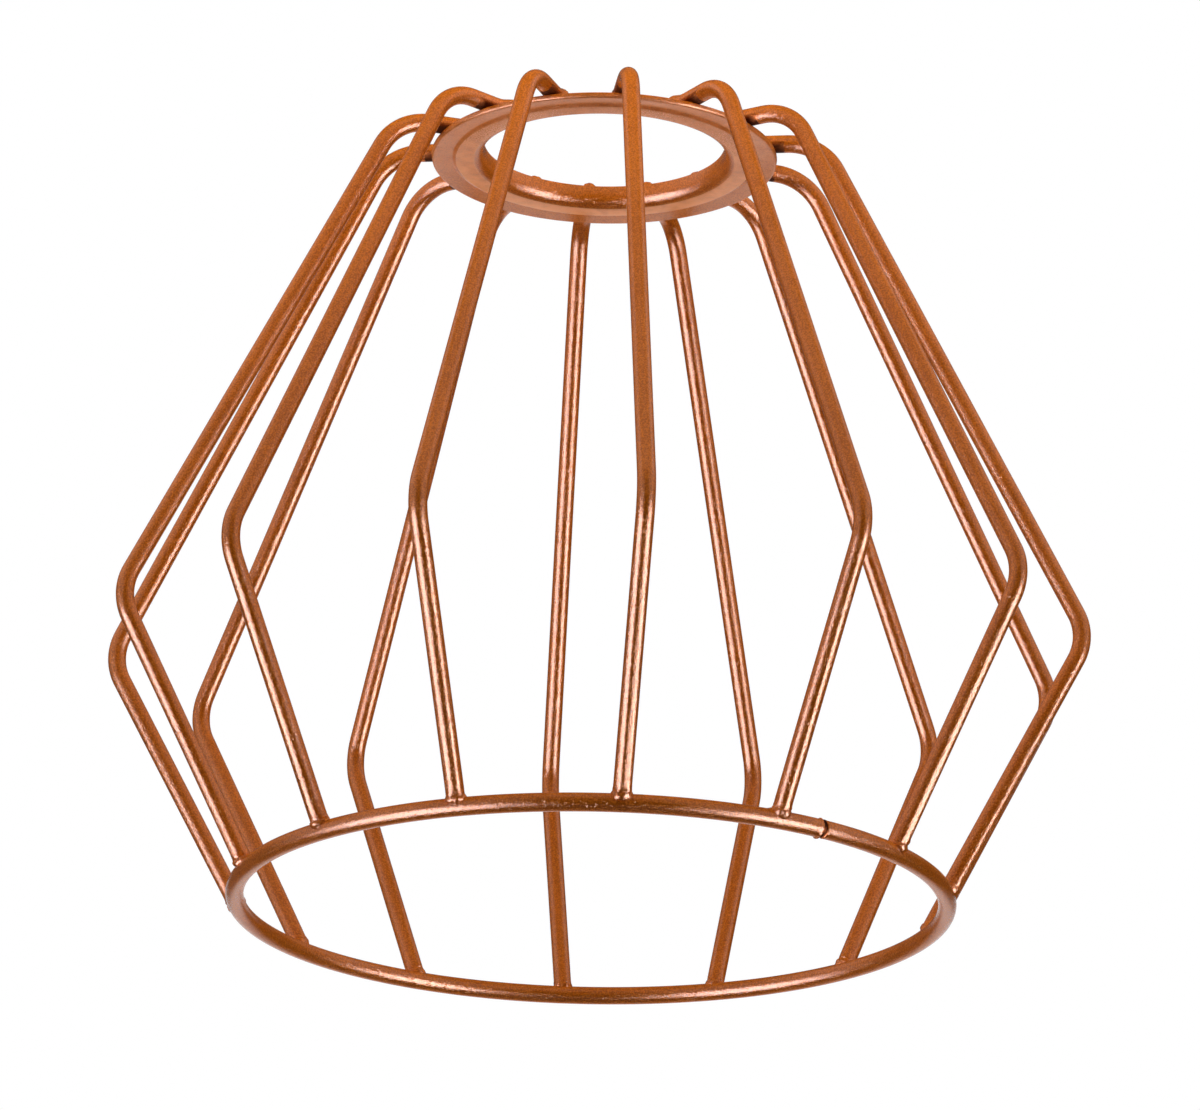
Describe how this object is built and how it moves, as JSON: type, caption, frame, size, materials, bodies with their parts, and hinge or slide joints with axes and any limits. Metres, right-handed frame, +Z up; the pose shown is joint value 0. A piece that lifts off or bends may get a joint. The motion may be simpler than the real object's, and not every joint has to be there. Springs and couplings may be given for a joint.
{
  "type": "wire cage lampshade",
  "caption": "Wire cage lampshade in copper paint: bent ribs spread from a collared top plate with a lampholder hole to a wide belly, then draw in to a plain base ring.",
  "frame": {"origin": "centre of the base ring, on the plane that the ring's underside stands on", "axes": "+Z up the shade's axis, from the base ring to the top plate with the lampholder hole; -Y towards the front, where the run of the first rib lies"},
  "size_m": [0.1652, 0.1688, 0.1396],
  "materials": {
    "copper_paint": "metallic copper paint, satin, with a fine orange-peel texture"
  },
  "bodies": {
    "root": {"top_plate": "copper_paint", "rib_01": "copper_paint", "rib_02": "copper_paint", "rib_03": "copper_paint", "rib_04": "copper_paint", "rib_05": "copper_paint", "rib_06": "copper_paint", "rib_07": "copper_paint", "rib_08": "copper_paint", "rib_09": "copper_paint", "rib_10": "copper_paint", "rib_11": "copper_paint", "rib_12": "copper_paint", "rib_13": "copper_paint", "rib_14": "copper_paint", "base_ring": "copper_paint"}
  },
  "joints": []
}
